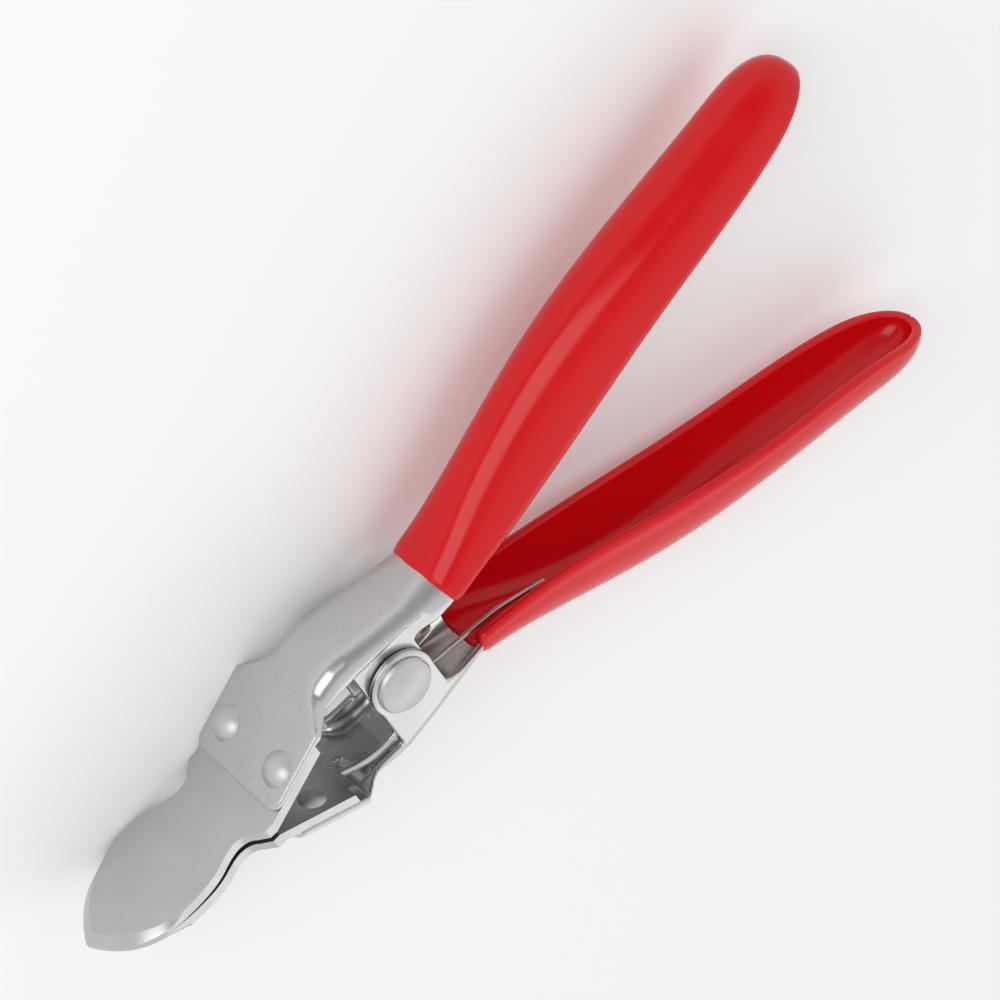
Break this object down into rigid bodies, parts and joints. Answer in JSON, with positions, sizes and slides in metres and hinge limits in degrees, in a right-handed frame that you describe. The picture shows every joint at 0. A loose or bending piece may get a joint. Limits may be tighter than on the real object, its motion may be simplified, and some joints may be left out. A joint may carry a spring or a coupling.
{
  "type": "hoof nipper",
  "caption": "Small sprung two-handled nipper: two pressed steel halves on one pivot rivet, each with a flat rounded jaw blade and a soft coated handle.",
  "frame": {"origin": "centre of the pivot rivet, halfway between its two heads", "axes": "+X from the jaws to the handle ends, +Y towards the upper half, +Z along the pivot rivet; the tool lies on its side"},
  "size_m": [0.197, 0.0908, 0.0262],
  "materials": {
    "plated_sheet": "satin nickel-plated sheet",
    "blade_steel": "ground satin",
    "rivet_steel": "polished",
    "spring_wire": "drawn wire",
    "red_vinyl": "glossy dipped vinyl"
  },
  "bodies": {
    "lower": {"lower_half": "plated_sheet", "lower_grip": "red_vinyl", "lower_blade": "blade_steel", "lower_front_rivet": "rivet_steel", "lower_back_rivet": "rivet_steel", "pivot_rivet": "rivet_steel", "torsion_spring": "spring_wire"},
    "upper": {"upper_half": "plated_sheet", "upper_grip": "red_vinyl", "upper_blade": "blade_steel", "upper_front_rivet": "rivet_steel", "upper_back_rivet": "rivet_steel"}
  },
  "joints": [
    {"name": "squeeze", "type": "hinge", "parent": "lower", "child": "upper", "pos_m": [0, 0, 0], "axis": [0, 0, 1], "range_deg": [-27, 0], "stiffness_Nm_per_rad": 1.6, "springref_deg": 25.78, "deforming": ["torsion_spring"]}
  ]
}
